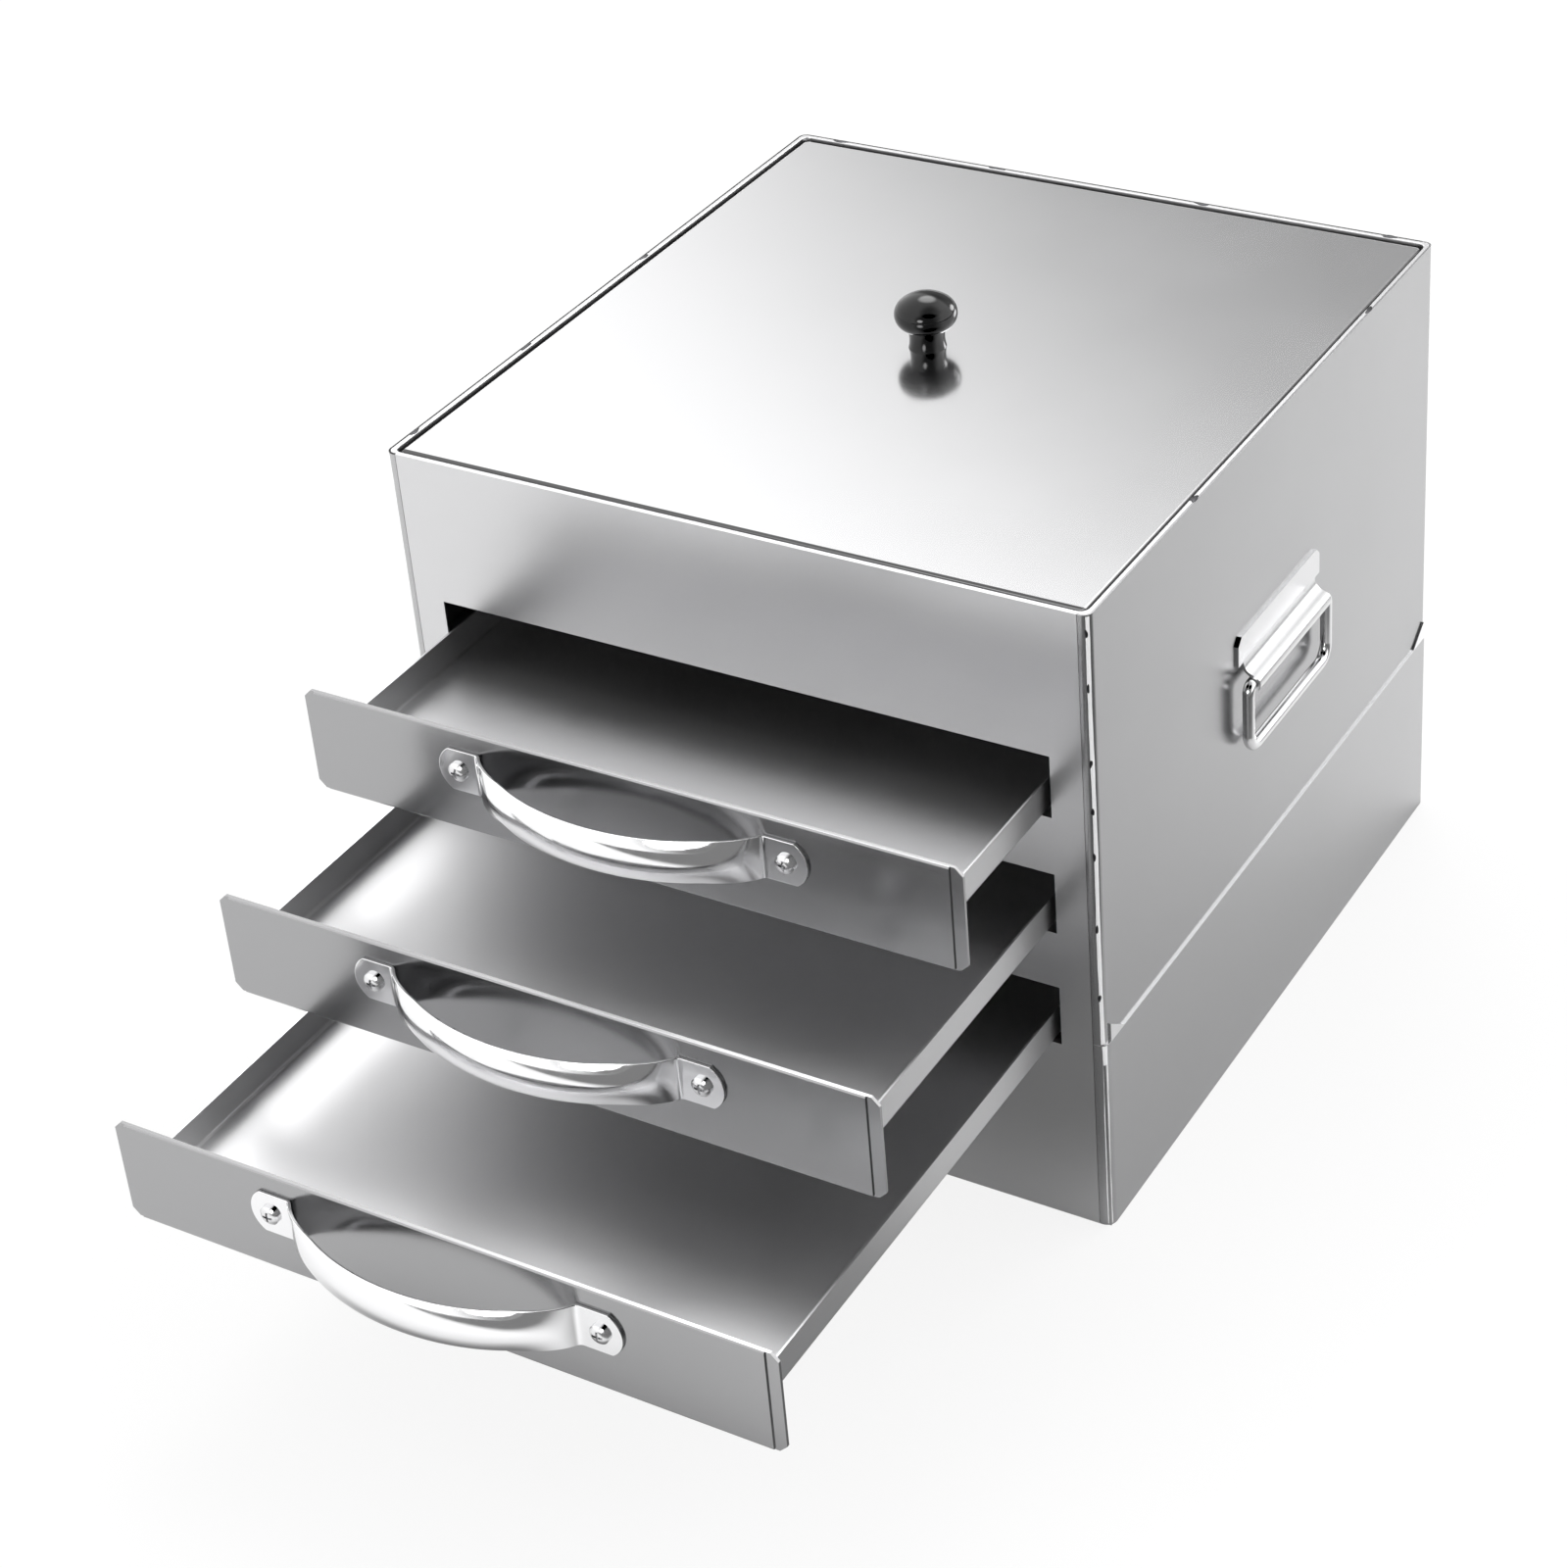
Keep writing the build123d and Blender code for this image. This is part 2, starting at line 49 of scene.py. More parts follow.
same_point = 0.0000001              # points nearer than this are one
far = 1.0                           # further out than the object reaches
tongue = 0.008                      # of a side sheet inside the tank
front_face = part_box("front_panel")[0][1]
rim_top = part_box("rim_fold")[1][2]
tank_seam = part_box("right_side_panel")[0][2] + tongue


# ---------------------------------------------------------------- small helpers
def linear(code):
    """An sRGB hex colour as the linear RGBA that Blender's sockets take."""
    levels = [int(code[i:i + 2], 16) / 255 for i in (1, 3, 5)]
    return tuple(v / 12.92 if v <= 0.04045 else ((v + 0.055) / 1.055) ** 2.4 for v in levels) + (1,)


def add(tree, kind, inputs=None, **settings):
    """Adds a node, sets its properties, and gives its sockets values or links."""
    node = tree.nodes.new(kind)
    for name, value in settings.items():
        setattr(node, name, value)
    for socket, value in (inputs or {}).items():
        if isinstance(value, bpy.types.NodeSocket):
            tree.links.new(value, node.inputs[socket])
        else:
            node.inputs[socket].default_value = value
    return node


def new_material(name):
    """An empty node material, its node tree and its output node."""
    material = bpy.data.materials.new(name)
    material.use_nodes = True
    tree = material.node_tree
    tree.nodes.clear()
    return material, tree, tree.nodes.new("ShaderNodeOutputMaterial")


def dress(material, *names):
    """Puts a material on whole CAD nodes."""
    for name in names:
        mesh = nodes[name].data
        mesh.materials.clear()
        mesh.materials.append(material)


def place_piece(name, mesh, material, body):
    """Makes the object of a new mesh, smooth and dressed, riding on its body."""
    mesh.materials.append(material)
    mesh.shade_smooth()
    piece = bpy.data.objects.new(name, mesh)
    bpy.context.scene.collection.objects.link(piece)
    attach(piece, body)
    return piece


def closed_skins(name, points, material, body):
    """One object made of many closed skins: points is an array (skin, row, column, xyz).

    Columns close on themselves, faces join each point to the next row and column, and each
    skin's first and last rows are one point, where its doubles are merged."""
    count, rows, columns, _ = points.shape
    index = np.arange(count * rows * columns).reshape(count, rows, columns)
    here = index[:, :-1, :]
    above = index[:, 1:, :]
    faces = np.stack([here, np.roll(here, -1, 2), np.roll(above, -1, 2), above], -1).reshape(-1, 4)
    mesh = bpy.data.meshes.new(name)
    mesh.from_pydata(points.reshape(-1, 3).tolist(), [], faces.tolist())
    skin = bmesh.new()
    skin.from_mesh(mesh)
    bmesh.ops.remove_doubles(skin, verts=skin.verts, dist=same_point)
    bmesh.ops.recalc_face_normals(skin, faces=skin.faces)
    skin.to_mesh(mesh)
    skin.free()
    return place_piece(name, mesh, material, body)


# ---------------------------------------------------------------- finishes
grain_mm = 0.6                      # width of a grain streak, coarser than the real 0.1 mm so that it shows
grain_length = 120                  # of a streak, in widths
wave_mm = 0.01                      # depth of the slow waves of thin sheet
waves_per_metre = 9.0               # about 110 mm from one to the next
smudges_per_metre = 14.0            # faint clouds about 70 mm across
haze_per_metre = 160.0              # buffing haze, 6 mm
haze_spread = 0.04                  # of a polished piece's roughness, up and down
peel_per_metre = 420.0              # orange peel of a buffed moulding, 2.4 mm
dust_per_metre = 90.0               # duller and clearer places on it, 11 mm
noise_low, noise_high = 0.3, 0.7    # between these nearly all of a noise lies
scratch_depth = 0.000005
haze_depth = 0.00002
peel_depth = 0.00003
edge_fade = 0.0003                  # over which a sheet's tone turns to its painted edge tone


def rolled_steel(name, tone, roughness, along, streak=0.008, smudge=0.02, bright_box=None, edge_tone=1.0):
    """Stainless sheet as the mill rolls it: a soft gloss that shows blurred shapes, fine
    straight grain along one axis, faint smudges, and the slow waves of thin sheet.

    along is the axis of the grain, 0, 1 or 2. streak and smudge are how far the grain and the
    smudges move the roughness, and the grain darkens the tone by streak as well. Outside
    bright_box, given as its low and high corners, the tone is multiplied by edge_tone: below 1
    a line of painted shade along the edge, above 1 a painted highlight along it."""
    material, tree, out = new_material(name)
    place = add(tree, "ShaderNodeTexCoord").outputs["Object"]
    across = 1000 / grain_mm
    stretch = [across] * 3
    stretch[along] = across / grain_length
    lines = add(tree, "ShaderNodeMapping", {"Vector": place, "Scale": stretch})
    grain = add(tree, "ShaderNodeTexNoise", {
        "Vector": lines.outputs["Vector"], "Scale": 1.0, "Detail": 3.0, "Roughness": 0.6})
    cloud = add(tree, "ShaderNodeTexNoise", {
        "Vector": place, "Scale": smudges_per_metre, "Detail": 4.0, "Roughness": 0.55})
    wave = add(tree, "ShaderNodeTexNoise", {"Vector": place, "Scale": waves_per_metre, "Detail": 1.0})
    streaks = add(tree, "ShaderNodeMapRange", {
        "Value": grain.outputs["Fac"], "From Min": noise_low, "From Max": noise_high,
        "To Min": -streak, "To Max": streak})
    smudges = add(tree, "ShaderNodeMapRange", {
        "Value": cloud.outputs["Fac"], "From Min": noise_low, "From Max": noise_high,
        "To Min": roughness - smudge, "To Max": roughness + smudge})
    rough = add(tree, "ShaderNodeMath", {0: streaks.outputs["Result"], 1: smudges.outputs["Result"]},
                operation="ADD", use_clamp=True)
    shade = add(tree, "ShaderNodeMapRange", {
        "Value": grain.outputs["Fac"], "From Min": 0.25, "From Max": 0.75,
        "To Min": 1 - streak, "To Max": 1.0})
    # Outside the box the tone is painted: shade along the lid's and the left and back sheets' edges, a
    # highlight along the tank's.
    if bright_box:
        low, high = (np.array(corner) for corner in bright_box)
        middle = tuple((low + high) / 2)
        half = tuple((high - low) / 2)
        offset = add(tree, "ShaderNodeVectorMath", {0: place, 1: middle}, operation="SUBTRACT")
        reach = add(tree, "ShaderNodeVectorMath", {0: offset.outputs["Vector"]}, operation="ABSOLUTE")
        past = add(tree, "ShaderNodeVectorMath", {0: reach.outputs["Vector"], 1: half}, operation="SUBTRACT")
        past = add(tree, "ShaderNodeSeparateXYZ", {"Vector": past.outputs["Vector"]}).outputs
        level = add(tree, "ShaderNodeMath", {0: past["X"], 1: past["Y"]}, operation="MAXIMUM")
        most = add(tree, "ShaderNodeMath", {0: level.outputs["Value"], 1: past["Z"]}, operation="MAXIMUM")
        edge = add(tree, "ShaderNodeMapRange", {
            "Value": most.outputs["Value"], "From Min": 0.0, "From Max": edge_fade,
            "To Min": 1.0, "To Max": edge_tone})
        shade = add(tree, "ShaderNodeMath", {0: shade.outputs["Result"], 1: edge.outputs["Result"]},
                    operation="MULTIPLY")
    colour = add(tree, "ShaderNodeVectorMath", {0: linear(tone)[:3], "Scale": shade.outputs[0]},
                 operation="SCALE")
    waves = add(tree, "ShaderNodeBump", {
        "Height": wave.outputs["Fac"], "Strength": 1.0, "Distance": wave_mm / 1000})
    scratches = add(tree, "ShaderNodeBump", {
        "Height": grain.outputs["Fac"], "Strength": 0.05, "Distance": scratch_depth,
        "Normal": waves.outputs["Normal"]})
    steel = add(tree, "ShaderNodeBsdfPrincipled", {
        "Base Color": colour.outputs["Vector"], "Metallic": 1.0, "Roughness": rough.outputs["Value"],
        "Normal": scratches.outputs["Normal"]})
    tree.links.new(steel.outputs["BSDF"], out.inputs["Surface"])
    return material


def polished_steel(name, tone, roughness, metal=1.0):
    """Buffed or dressed steel: from nearly a mirror to a dull gleam, with a hair-fine haze.

    metal is under 1 where a matt colour scatters part of the light, as on the pale corner weld, whose
    paleness is a painted highlight."""
    material, tree, out = new_material(name)
    place = add(tree, "ShaderNodeTexCoord").outputs["Object"]
    haze = add(tree, "ShaderNodeTexNoise", {"Vector": place, "Scale": haze_per_metre, "Detail": 4.0})
    rough = add(tree, "ShaderNodeMapRange", {
        "Value": haze.outputs["Fac"], "From Min": noise_low, "From Max": noise_high,
        "To Min": roughness - haze_spread, "To Max": roughness + haze_spread})
    fine = add(tree, "ShaderNodeBump", {
        "Height": haze.outputs["Fac"], "Strength": 0.15, "Distance": haze_depth})
    steel = add(tree, "ShaderNodeBsdfPrincipled", {
        "Base Color": linear(tone), "Metallic": metal, "Roughness": rough.outputs["Result"],
        "Normal": fine.outputs["Normal"]})
    tree.links.new(steel.outputs["BSDF"], out.inputs["Surface"])
    return material


def polished_phenolic(name):
    """Moulded black phenolic, buffed: deep black under a clear gloss with a slight orange peel."""
    material, tree, out = new_material(name)
    place = add(tree, "ShaderNodeTexCoord").outputs["Object"]
    peel = add(tree, "ShaderNodeTexNoise", {"Vector": place, "Scale": peel_per_metre, "Detail": 2.0})
    dust = add(tree, "ShaderNodeTexNoise", {"Vector": place, "Scale": dust_per_metre, "Detail": 3.0})
    rough = add(tree, "ShaderNodeMapRange", {
        "Value": dust.outputs["Fac"], "From Min": noise_low, "From Max": noise_high,
        "To Min": 0.07, "To Max": 0.12})
    bump = add(tree, "ShaderNodeBump", {
        "Height": peel.outputs["Fac"], "Strength": 0.2, "Distance": peel_depth})
    resin = add(tree, "ShaderNodeBsdfPrincipled", {
        "Base Color": linear("#070708"), "Roughness": rough.outputs["Result"], "IOR": 1.5,
        "Specular IOR Level": 0.4, "Normal": bump.outputs["Normal"]})
    tree.links.new(resin.outputs["BSDF"], out.inputs["Surface"])
    return material


cut_edge = 0.0004                   # height of the painted band along a sheet's cut upper edge
lid_fold = 0.0010                   # width of the line of painted shade where the lid's sheet turns down
lid_front_fold = 0.0032             # the same along its front
panel_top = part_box("back_panel")[1][2]
lid_low, lid_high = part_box("lid_panel")

# Satin rolled sheet of the front: it blurs what it mirrors into broad soft bands.
casing_sheet = rolled_steel("satin_stainless_casing_sheet", "#cececf", 0.32, along=0)

# Left and back sheets, with painted shade along the cut upper edge: a near black line that draws the box's
# outline.
outline_sheet = rolled_steel(
    "satin_stainless_sheet_painted_edge_shade", "#b2b2b3", 0.26, along=2,
    bright_box=((-far, -far, -far), (far, far, panel_top - cut_edge)), edge_tone=0.05)

# Side sheet with upright grain: its reflections are a little clearer than the front's.
side_sheet = rolled_steel("satin_stainless_side_sheet", "#aeaeaf", 0.24, along=2)

# Tank sheet, with a painted highlight along the seam at its upper edge: a bright line.
tank_sheet = rolled_steel(
    "satin_stainless_tank_sheet", "#b4b4b5", 0.24, along=2,
    bright_box=((-far, -far, -far), (far, far, tank_seam - cut_edge)), edge_tone=1.9)

# Plain sheet as it comes from the mill: dull, so that the inside stays dim.
inner_sheet = rolled_steel("plain_stainless_inner_sheet", "#b9b9ba", 0.38, along=1)

# Bright rolled lid: close to a mirror, which shows the knob below itself, in a thin frame of painted shade
# where its sheet turns down.
lid_sheet = rolled_steel(
    "bright_rolled_lid_sheet", "#dededf", 0.14, along=1, streak=0.004, smudge=0.01,
    bright_box=((lid_low[0] + lid_fold, lid_low[1] + lid_front_fold, -far),
                (lid_high[0] - lid_fold, lid_high[1] - lid_fold, far)), edge_tone=0.10)

# Brushed drawer fronts: darker and glossier than the casing, with level grain.
front_sheet = rolled_steel("brushed_stainless_drawer_front", "#a2a2a3", 0.18, along=0)

# Pale dull tray sheet: a wide sheen that fades away towards the casing.
tray_sheet = rolled_steel("plain_stainless_tray_sheet", "#dadadb", 0.40, along=1)

# Polished strap handles: sharp white and dark bands that run along the bow.
strap_steel = polished_steel("polished_stainless_strap", "#eeeeef", 0.10)

# Polished rod of the bails: a thin bright line along each run.
rod_steel = polished_steel("polished_stainless_rod", "#e4e4e5", 0.12)

# Bright bracket sheet: paler than the side that it is fixed to.
bracket_sheet = rolled_steel("bright_stainless_bracket_sheet", "#dededf", 0.24, along=1)

# Plated screws, nuts and washer: small clear sparks of light.
screw_steel = polished_steel("bright_plated_screw_steel", "#dcdcdd", 0.18)

# Sheared edge of the straps, duller than the face and darkened further with painted shade: a greyer line
# round the bright face.
sheared_steel = polished_steel("sheared_strap_edge_painted_shade", "#a8a8a9", 0.28)

# Corner weld with a painted highlight: a pale matt strip that stays light from any side.
seam_steel = polished_steel("corner_weld_painted_highlight", "#f4f4f5", 0.5, metal=0.3)

# Weld left as it cooled: small dull dark spots.
weld_steel = polished_steel("dull_heat_greyed_weld", "#454547", 0.34)

# Moulded and buffed phenolic knob: deep black with small sharp highlights.
knob_phenolic = polished_phenolic("polished_black_phenolic")

dress(casing_sheet, "front_panel", "rim_fold")
dress(outline_sheet, "left_side_panel", "back_panel")
dress(side_sheet, "right_side_panel")
dress(tank_sheet, "water_tank")
dress(inner_sheet, "lid_seat", *[f"{d}_{s}_runner" for d in drawers for s in sides])
dress(lid_sheet, "lid_panel")
dress(knob_phenolic, "lid_knob")
dress(screw_steel, "knob_washer", "knob_screw")
dress(screw_steel, *[f"{d}_handle_{k}" for d in drawers for k in ("screws", "nuts")])
dress(bracket_sheet, *[f"{s}_handle_bracket" for s in sides])
dress(rod_steel, *[f"{s}_bail" for s in sides])
dress(front_sheet, *[f"{d}_drawer_front" for d in drawers])
dress(tray_sheet, *[f"{d}_tray" for d in drawers])
dress(strap_steel, *[f"{d}_handle" for d in drawers])


# ---------------------------------------------------------------- strap handles
strap_half_span = 0.0605            # middle of the handle to the bend at a pad
strap_long_axis = 0.066             # half length of the ellipse that the bow follows
strap_depth = 0.0242                # of the bow in front of the pads
strap_pad = 0.018                   # length of a pad, bend to tip
strap_bulge = 0.005                 # of a pad's rounded end
strap_height = 0.018                # of the strip, which stands on edge
strap_sheet = 0.0012                # its thickness
strap_edge = 0.0003                 # rounding of the strap's edges
strap_bend = 0.0011                 # half length over which the bend is rounded
strap_flat = 0.00002                # crown left at the pads
strap_crown = 0.0026                # how far the bow's middle line stands out before its edges
strap_fade = 0.020                  # length over which the crown fades
strap_step = 0.0002                 # over which the line's direction is taken
strap_path_points = 600             # on the bow's line
strap_bow_rows = 181
strap_pad_rows = 25
strap_columns = 17                  # across the strap


def strap_path(count):
    """Outer line of the strap from one pad's end to the other's: (distance, x, depth) arrays,
    with the distance counted from its middle.

    The bow is part of an ellipse, x = a sin t and depth = b (cos t - cos t0) + sheet, and
    the pad is straight. A moving average along the line rounds the bend between them."""
    start = np.arcsin(strap_half_span / strap_long_axis)
    short_axis = strap_depth / (1 - np.cos(start))
    turn = np.linspace(-start, start, count)
    pad = strap_half_span + np.linspace(0, strap_pad, count // 4)[1:]
    x = np.concatenate([-pad[::-1], strap_long_axis * np.sin(turn), pad])
    flat = np.full(pad.size, strap_sheet)
    depth = np.concatenate([flat, short_axis * (np.cos(turn) - np.cos(start)) + strap_sheet, flat])
    walked = np.concatenate([[0], np.cumsum(np.hypot(np.diff(x), np.diff(depth)))])
    even = np.linspace(0, walked[-1], 4 * count)
    window = max(1, int(strap_bend / even[1]))
    soften = np.ones(2 * window + 1) / (2 * window + 1)
    lines = [np.interp(even, walked, line) for line in (x, depth)]
    soft = [np.convolve(np.pad(line, window, mode="reflect", reflect_type="odd"), soften, mode="valid")
            for line in lines]
    return even - walked[-1] / 2, soft[0], soft[1]


def strap_handle(drawer):
    """Pressed strap: the path's line swept across its width, with a crown that fades at the pads.

    A point is path(s) - normal(s) * (R - sqrt(R^2 - z^2)), where R is the crown's radius and z
    the height in the strap. In a pad s runs on to the bulged end, an arc over z. Solidify
    gives this outer face the sheet's thickness."""
    distance, x, depth = strap_path(strap_path_points)
    across = np.linspace(-1, 1, strap_columns)[None, :]
    half = strap_height / 2
    bend = np.interp(strap_half_span, x, distance)
    bulge = (half ** 2 + strap_bulge ** 2) / (2 * strap_bulge)
    shorter = bulge - np.sqrt(bulge ** 2 - (half * across) ** 2)
    inner = bend * np.linspace(-1, 1, strap_bow_rows)[:, None] + 0 * across
    outer = bend + (strap_pad - shorter) * np.linspace(0, 1, strap_pad_rows)[1:, None]
    s = np.concatenate([-outer[::-1], inner, outer])
    px = np.interp(s, distance, x)
    pd = np.interp(s, distance, depth)
    tx = np.interp(s + strap_step, distance, x) - np.interp(s - strap_step, distance, x)
    td = np.interp(s + strap_step, distance, depth) - np.interp(s - strap_step, distance, depth)
    size = np.hypot(tx, td)
    fade = np.clip((strap_half_span - np.abs(px)) / strap_fade, 0, 1)
    crown = strap_flat + strap_crown * fade * fade * (3 - 2 * fade)
    radius = (half ** 2 + crown ** 2) / (2 * crown)
    sunk = radius - np.sqrt(radius ** 2 - (half * across) ** 2)
    low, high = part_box(f"{drawer}_handle")
    points = np.stack([px + sunk * td / size, high[1] - (pd - sunk * tx / size),
                       (low[2] + high[2]) / 2 + half * across + 0 * px], -1)
    rows, columns, _ = points.shape
    index = np.arange(rows * columns).reshape(rows, columns)
    faces = np.stack([index[:-1, :-1], index[1:, :-1], index[1:, 1:], index[:-1, 1:]], -1).reshape(-1, 4)
    mesh = bpy.data.meshes.new(f"{drawer}_handle_strap")
    mesh.from_pydata(points.reshape(-1, 3).tolist(), [], faces.tolist())
    piece = place_piece(f"{drawer}_handle_strap", mesh, strap_steel, f"{drawer}_drawer")
    mesh.materials.append(sheared_steel)
    wall = piece.modifiers.new("sheet thickness", "SOLIDIFY")
    wall.thickness = strap_sheet
    wall.offset = -1
    # The rim faces take the sheared edge, darkened with painted shade.
    wall.material_offset_rim = 1
    edge = piece.modifiers.new("rounded edges", "BEVEL")
    edge.width = strap_edge
    edge.segments = 3
    edge.limit_method = "ANGLE"
    edge.angle_limit = radians(50)
    edge.harden_normals = True
    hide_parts(f"{drawer}_handle")


for drawer in drawers:
    strap_handle(drawer)


# ---------------------------------------------------------------- welds
corner_turn_x = 0.1457              # where the upright corners' rounding begins
casing_corner = 0.0035              # its radius on the casing
seam_middle = radians(45)           # where the weld runs on the corner's arc
seam_half_turn = radians(17)        # half of its width there
seam_lift = 0.00006                 # of the weld's face above the sheet
seam_sunk = 0.0003                  # depth of its root in the sheet
seam_rows = 160
seam_columns = 24
seam_swell = ((0.05, 0.0065, 0.0), (0.04, 0.0028, 1.3))     # share of the width, length, shift
seam_sway = (0.03, 0.017)           # turn on the arc, length
seam_margin = 0.0006                # from a sheet's end to the weld's
seam_parting = 0.0002               # of the casing's weld above the tank's

rim_inset = 0.0011                  # from a sheet's outer face to the middle of the rim's upper edge
left_rim_welds = (-0.140, -0.064, 0.0236)                   # y
right_rim_welds = (-0.070, 0.092)                           # y
back_rim_welds = (-0.129, -0.051, 0.046, 0.1306)            # x
side_weld_size = (0.0030, 0.0011, 0.0003)                   # half length, half width, height
back_weld_size = (0.0036, 0.0011, 0.0003)

tack_heights = (0.2675, 0.245, 0.2134, 0.1928, 0.1731, 0.1408, 0.1094)
tack_way = (0.574, -0.819, 0.0)     # outwards from the corner, 55 degrees round from the side
tack_size = (0.0017, 0.0006, 0.0002)

bead_rows = 13
bead_columns = 20
bead_lumps = ((0.16, 2, 1.7), (0.10, 3, 2.9))               # share of the reach, waves, shift per bead


def weld_spots(name, centres, lengthwise, upward, size):
    """Small weld beads: lumpy ellipsoids half sunk in the sheet.

    A point is the centre + length sin a cos b + width sin a sin b + height cos a, with its
    reach round the bead varied by a few slow waves of b."""
    centre = np.array(centres, float)[:, None, None, :]
    lengthwise = np.array(lengthwise, float)
    upward = np.array(upward, float)
    sideways = np.cross(upward, lengthwise)
    a = np.linspace(0, np.pi, bead_rows)[None, :, None, None]
    b = np.linspace(0, 2 * np.pi, bead_columns + 1)[:-1][None, None, :, None]
    which = np.arange(len(centres))[:, None, None, None]
    reach = sum((share * np.sin(waves * b + shift * which) for share, waves, shift in bead_lumps), 1)
    spread = size[0] * np.cos(b) * lengthwise + size[1] * np.sin(b) * sideways
    points = centre + np.sin(a) * reach * spread + size[2] * np.cos(a) * upward
    closed_skins(name, points, weld_steel, "casing")


def corner_seam(name, centre, radius, hand, foot, top):
    """Weld down a rounded upright corner, pale as a painted highlight: a thin band that follows the corner's
    arc.

    A point is centre + (radius + lift) (cos f, -sin f), where f runs through the band's width
    and the lift is that of a shallow lens. The band swells and sways a little with height."""
    z = np.linspace(foot, top, seam_rows)
    z = np.concatenate([[foot], z, [top]])[None, :, None]
    turn = np.linspace(0, 2 * np.pi, seam_columns + 1)[:-1][None, None, :]
    open_width = np.ones(z.size)
    open_width[[0, -1]] = 0
    open_width = open_width[None, :, None]
    swell = sum(share * np.sin(z / length + shift) for share, length, shift in seam_swell)
    sway = seam_sway[0] * np.sin(z / seam_sway[1])
    f = seam_middle + open_width * (seam_half_turn * (1 + swell) * np.cos(turn) + sway)
    lift = -seam_sunk + open_width * (seam_sunk + seam_lift) * (0.5 + 0.5 * np.sin(turn)) + 0 * z
    reach = radius + lift
    points = np.stack(np.broadcast_arrays(hand * (centre[0] + reach * np.cos(f)),
                                          centre[1] - reach * np.sin(f), z), -1)
    closed_skins(name, points, seam_steel, "casing")


left_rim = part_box("left_side_panel")[0][0] + rim_inset
back_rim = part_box("back_panel")[1][1] - rim_inset
side_rim_welds = [(left_rim, y, rim_top) for y in left_rim_welds]
side_rim_welds += [(-left_rim, y, rim_top) for y in right_rim_welds]
weld_spots("rim_side_welds", side_rim_welds, (0, 1, 0), (0, 0, 1), side_weld_size)
weld_spots("rim_back_welds", [(x, back_rim, rim_top) for x in back_rim_welds],
           (1, 0, 0), (0, 0, 1), back_weld_size)

corner_seams = (                    # name, sheet that turns the corner, foot, top
    ("casing", "right_side_panel", tank_seam + seam_parting, rim_top - seam_margin),
    ("tank", "water_tank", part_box("water_tank")[0][2] + seam_margin, tank_seam - seam_margin),
)
for seam, sheet, foot, top in corner_seams:
    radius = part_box(sheet)[1][0] - corner_turn_x
    centre = (corner_turn_x, front_face + radius)
    for side, hand in (("right", 1), ("left", -1)):
        corner_seam(f"{side}_{seam}_corner_seam", centre, radius, hand, foot, top)

tack_x = corner_turn_x + casing_corner * tack_way[0]
tack_y = front_face + casing_corner * (1 + tack_way[1])
weld_spots("right_corner_tacks", [(tack_x, tack_y, z) for z in tack_heights], (0, 0, 1), tack_way, tack_size)


# ---------------------------------------------------------------- floor, light and camera
plain_white = (1, 1, 1, 1)
floor_reach = 12.0
floor_colour = "#f2f2f2"
floor_white_seen = 0.85             # share of plain white in what the camera sees of the floor
floor_white_mirrored = 0.1          # and in what the metal mirrors of it
card_way = (0.894, -0.447, 0.0)     # from the object's left back to its right front
rear_way = (0.0, 1.0, 0.0)
fore_way = (0.0, -1.0, 0.0)
# Painted shade on the floor, which only the metal mirrors: for each patch its tone, and for each of its
# edges the way into the patch and the reaches along it where the edge fades in.
dark_cards = (
    (0.12, (card_way, (0.30, 0.40))),
    (0.74, (card_way, (0.02, 0.30)), (rear_way, (-0.46, -0.38))),
    (0.28, (card_way, (0.03, 0.16)), (rear_way, (-0.45, -0.39)), (fore_way, (0.15, 0.22))),
)
dome_base = 0.38
light_banks = (                     # toward, fade of its cosine, strength
    ((0.0, -1.0, 0.0), (-0.84, -0.70), 1.05),       # all but the grey wall behind
    ((0.85, 0.45, 0.3), (0.45, 0.8), 0.55),         # bank behind the right side
    ((0.55, -0.7, 0.4), (0.6, 0.9), -1.2),          # dark room at the front right
    ((0.36, -0.15, 0.92), (0.80, 0.97), -1.0),      # dark ceiling
    ((-0.25, 0.56, 0.79), (0.95, 0.99), 5.0),       # softbox above, behind
    ((0.12, -0.935, 0.313), (0.98, 0.995), 9.0),    # small lamp in front
    ((0.389, 0.895, 0.218), (0.975, 0.992), 8.0),   # softbox low at the back right
)
camera_place = (0.62512, -1.0715, 0.91252)
camera_heading = radians(31.832)    # to the left of +Y
camera_tilt = radians(90 - 31.710)
camera_roll = radians(-4.35)
camera_shift = (-0.05, -0.10)
sensor_mm = 36.0
picture_pixels = 1600
focal_pixels = 3602                 # the lens, in pixels of the picture


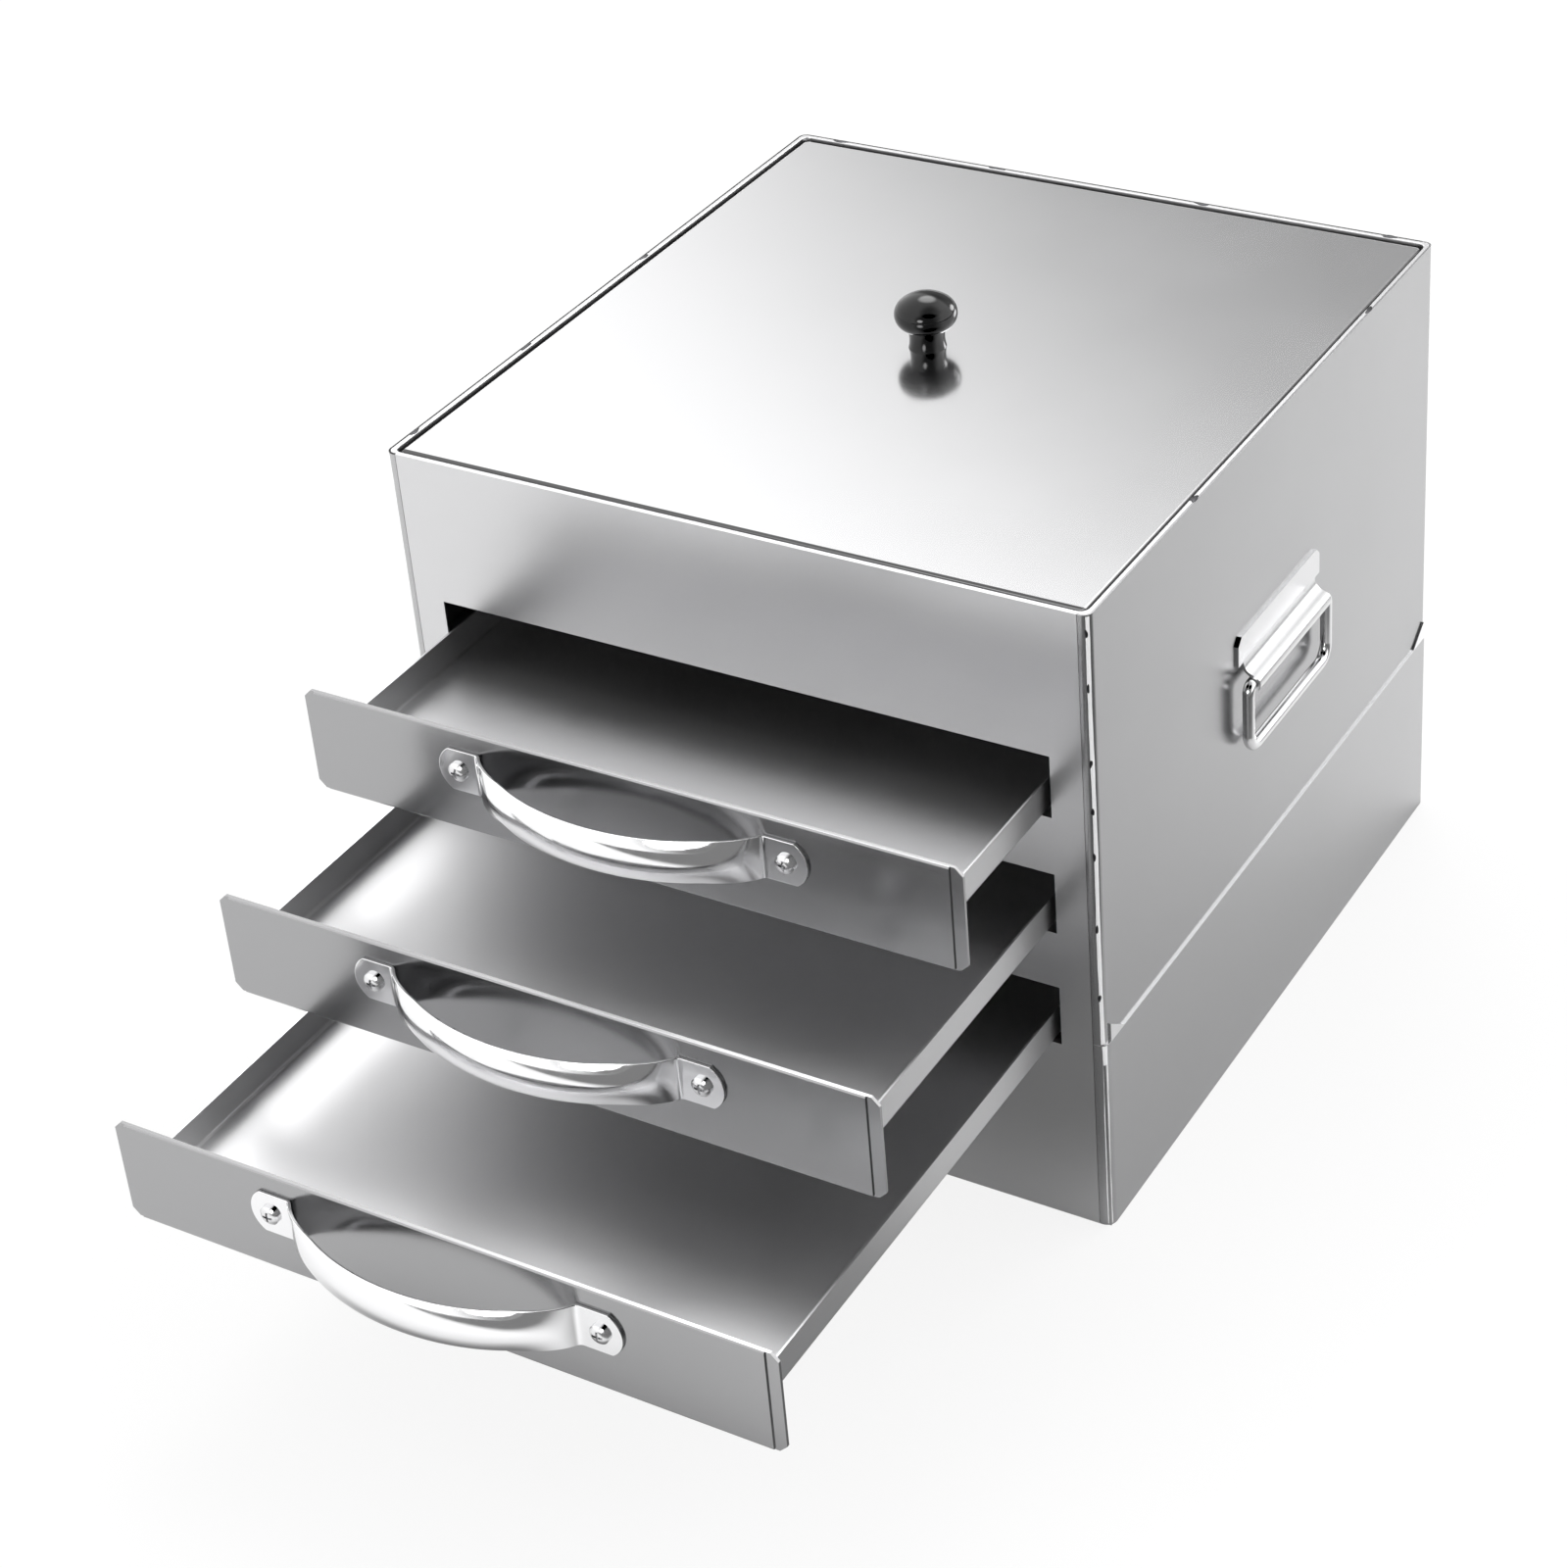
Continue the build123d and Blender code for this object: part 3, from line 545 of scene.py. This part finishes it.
def lay_floor():
    """A wide pale floor: white where the camera sees it, with the object's soft shadow. In the
    metal's reflections each patch of painted shade multiplies its colour by the patch's tone."""
    material, tree, out = new_material("pale_studio_floor")
    ray = add(tree, "ShaderNodeLightPath")
    place = add(tree, "ShaderNodeTexCoord").outputs["Object"]
    shade = 1.0
    # Each patch darkens the floor in glossy rays only: painted shade in the metal's reflections.
    for dark, *edges in dark_cards:
        cover = ray.outputs["Is Glossy Ray"]
        for toward, fade in edges:
            along = add(tree, "ShaderNodeVectorMath", {0: place, 1: toward}, operation="DOT_PRODUCT")
            edge = add(tree, "ShaderNodeMapRange", {
                "Value": along.outputs["Value"], "From Min": fade[0], "From Max": fade[1]},
                interpolation_type="SMOOTHSTEP")
            cover = add(tree, "ShaderNodeMath", {0: cover, 1: edge.outputs["Result"]},
                        operation="MULTIPLY").outputs["Value"]
        tone = add(tree, "ShaderNodeMapRange", {"Value": cover, "To Min": 1.0, "To Max": dark})
        shade = add(tree, "ShaderNodeMath", {0: shade, 1: tone.outputs["Result"]},
                    operation="MULTIPLY").outputs["Value"]
    colour = add(tree, "ShaderNodeVectorMath", {0: linear(floor_colour)[:3], "Scale": shade},
                 operation="SCALE")
    paint = add(tree, "ShaderNodeBsdfDiffuse", {"Color": colour.outputs["Vector"]})
    white = add(tree, "ShaderNodeEmission", {"Color": plain_white, "Strength": 1.0})
    seen = add(tree, "ShaderNodeMath", {0: ray.outputs["Is Camera Ray"], 1: floor_white_seen},
               operation="MULTIPLY")
    whitened = add(tree, "ShaderNodeMath", {
        0: ray.outputs["Is Glossy Ray"], 1: floor_white_mirrored, 2: seen.outputs["Value"]},
        operation="MULTIPLY_ADD")
    mix = add(tree, "ShaderNodeMixShader", {
        0: whitened.outputs["Value"], 1: paint.outputs["BSDF"], 2: white.outputs["Emission"]})
    tree.links.new(mix.outputs["Shader"], out.inputs["Surface"])
    mesh = bpy.data.meshes.new("studio_floor")
    corners = [(x * floor_reach, y * floor_reach, 0) for x, y in ((-1, -1), (1, -1), (1, 1), (-1, 1))]
    mesh.from_pydata(corners, [], [(0, 1, 2, 3)])
    mesh.materials.append(material)
    floor = bpy.data.objects.new("studio_floor", mesh)
    bpy.context.scene.collection.objects.link(floor)


def light_world():
    """White for the camera; for the object a soft dome: a plain grey level, to which each bank
    adds its strength, below 0 for a dark one, fading in where the way nears the bank's middle."""
    world = bpy.data.worlds.new("studio_dome")
    world.use_nodes = True
    tree = world.node_tree
    tree.nodes.clear()
    out = tree.nodes.new("ShaderNodeOutputWorld")
    ray = add(tree, "ShaderNodeLightPath")
    way = add(tree, "ShaderNodeTexCoord").outputs["Generated"]
    total = dome_base
    for toward, fade, strength in light_banks:
        near = add(tree, "ShaderNodeVectorMath", {0: way, 1: Vector(toward).normalized()},
                   operation="DOT_PRODUCT")
        bank = add(tree, "ShaderNodeMapRange", {
            "Value": near.outputs["Value"], "From Min": fade[0], "From Max": fade[1],
            "To Min": 0.0, "To Max": strength}, interpolation_type="SMOOTHSTEP")
        total = add(tree, "ShaderNodeMath", {0: total, 1: bank.outputs["Result"]},
                    operation="ADD").outputs["Value"]
    dome = add(tree, "ShaderNodeBackground", {"Color": plain_white, "Strength": total})
    white = add(tree, "ShaderNodeBackground", {"Color": plain_white, "Strength": 1.0})
    mix = add(tree, "ShaderNodeMixShader", {
        0: ray.outputs["Is Camera Ray"], 1: dome.outputs["Background"], 2: white.outputs["Background"]})
    tree.links.new(mix.outputs["Shader"], out.inputs["Surface"])
    bpy.context.scene.world = world


def set_camera():
    """The photograph's viewpoint: above the right front corner, with a long lens."""
    lens = bpy.data.cameras.new("camera")
    lens.sensor_width = sensor_mm
    lens.lens = sensor_mm * focal_pixels / picture_pixels
    lens.shift_x, lens.shift_y = camera_shift
    lens.clip_start = 0.05
    camera = bpy.data.objects.new("camera", lens)
    turn = Matrix.Rotation(camera_heading, 4, "Z") @ Matrix.Rotation(camera_tilt, 4, "X")
    turn = turn @ Matrix.Rotation(camera_roll, 4, "Z")
    camera.matrix_world = Matrix.Translation(camera_place) @ turn
    bpy.context.scene.collection.objects.link(camera)
    bpy.context.scene.camera = camera


lay_floor()
light_world()
set_camera()
bpy.context.scene.view_settings.view_transform = "Standard"
